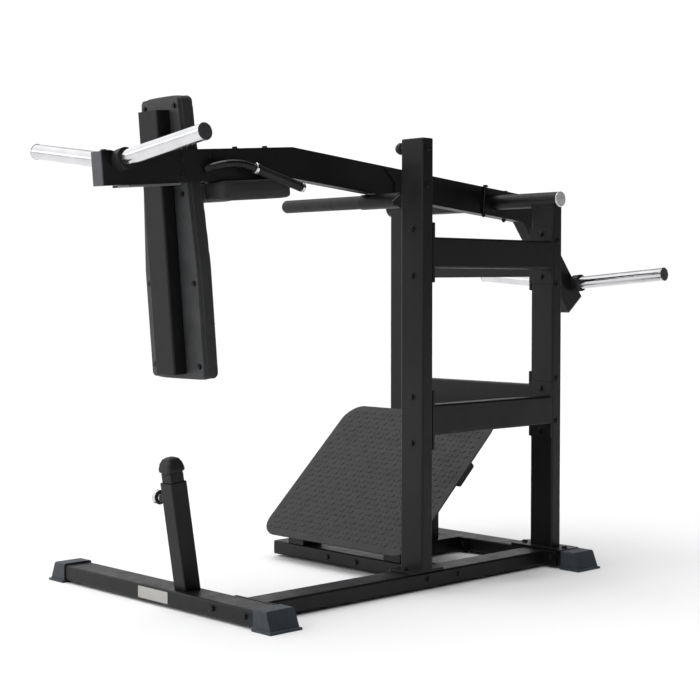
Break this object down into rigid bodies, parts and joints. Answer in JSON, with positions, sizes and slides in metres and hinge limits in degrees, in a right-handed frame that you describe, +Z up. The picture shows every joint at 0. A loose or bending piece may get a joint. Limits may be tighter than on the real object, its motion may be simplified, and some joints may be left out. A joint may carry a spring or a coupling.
{
  "type": "pendulum squat machine",
  "caption": "Plate-loaded swing arm with back and shoulder pads over a sloped foot platform, on a bolted rectangular-tube frame with an adjustable lower stop.",
  "frame": {"origin": "middle of the footprint, on the floor", "axes": "+Z up; +X from the front foot, under the pads, to the rear foot, under the pivot; +Y across the machine, away from the side with the long floor rail"},
  "size_m": [2.2457, 1.157, 1.5883],
  "materials": {
    "powder_coat": "satin black powder coat with a fine grain",
    "chrome": "polished chrome",
    "tread_plate": "dark grey raised-diamond tread plate",
    "wear_plate": "zinc-grey steel",
    "foot_rubber": "matt slate-grey moulded rubber",
    "black_rubber": "matt black rubber",
    "board": "matt charcoal backing board",
    "vinyl": "black upholstery vinyl with a fine pebble grain"
  },
  "bodies": {
    "frame": {"front_foot_tube": "powder_coat", "rear_foot_tube": "powder_coat", "front_foot_cap_near": "foot_rubber", "front_foot_cap_far": "foot_rubber", "rear_foot_cap_near": "foot_rubber", "rear_foot_cap_far": "foot_rubber", "near_side_rail": "powder_coat", "platform_cross_tube": "powder_coat", "middle_rail": "powder_coat", "front_upright": "powder_coat", "rear_upright_near": "powder_coat", "rear_upright_far": "powder_coat", "side_beam_lower": "powder_coat", "side_beam_upper": "powder_coat", "cross_beam_lower": "powder_coat", "cross_beam_upper": "powder_coat", "upper_rubber_stop": "black_rubber", "foot_platform_plate": "tread_plate", "platform_rib_near": "powder_coat", "platform_rib_far": "powder_coat", "platform_cross_support": "powder_coat", "platform_brace": "powder_coat", "bearing_housing_near": "powder_coat", "bearing_housing_far": "powder_coat", "pivot_axle": "chrome", "pivot_cap_near": "chrome", "pivot_cap_far": "chrome", "stop_post": "powder_coat"},
    "arm": {"arm_front_beam": "powder_coat", "arm_rear_beam": "powder_coat", "arm_front_plug": "black_rubber", "arm_rear_plug": "black_rubber", "arm_pivot_tube": "powder_coat", "strike_plate": "wear_plate", "front_collar_near": "black_rubber", "front_sleeve_near": "chrome", "front_collar_far": "black_rubber", "front_sleeve_far": "chrome", "rear_collar_near": "black_rubber", "rear_sleeve_near": "chrome", "rear_collar_far": "black_rubber", "rear_sleeve_far": "chrome", "pad_spine": "powder_coat", "back_pad_board": "board", "back_pad": "vinyl", "spine_bracket_near": "powder_coat", "far_shoulder_beam": "powder_coat", "shoulder_pad_near": "vinyl", "shoulder_pad_far": "vinyl", "handle_tube_near": "powder_coat", "handle_grip_near": "black_rubber", "handle_tube_far": "powder_coat", "handle_grip_far": "black_rubber", "release_bar_sleeve": "powder_coat", "latch_bracket": "powder_coat"},
    "release_bar": {"release_bar": "black_rubber"},
    "stop": {"stop_inner_tube": "powder_coat", "stop_bumper": "black_rubber"},
    "pull_pin": {"pull_pin": "chrome"}
  },
  "joints": [
    {"name": "arm_swing", "type": "hinge", "parent": "frame", "child": "arm", "pos_m": [0.6045, -0.1075, 1.302], "axis": [0, -1, 0], "range_deg": [0, 27]},
    {"name": "release_bar_turn", "type": "hinge", "parent": "arm", "child": "release_bar", "pos_m": [-0.0145, -0.1625, 1.281], "axis": [0, -1, 0], "range_deg": [0, 35]},
    {"name": "stop_height", "type": "slide", "parent": "frame", "child": "stop", "axis": [-0.1547, 0, 0.988], "range_m": [-0.03, 0.03]},
    {"name": "pin_pull", "type": "slide", "parent": "frame", "child": "pull_pin", "axis": [0, 1, 0], "range_m": [0, 0.012], "stiffness_N_per_m": 600}
  ]
}
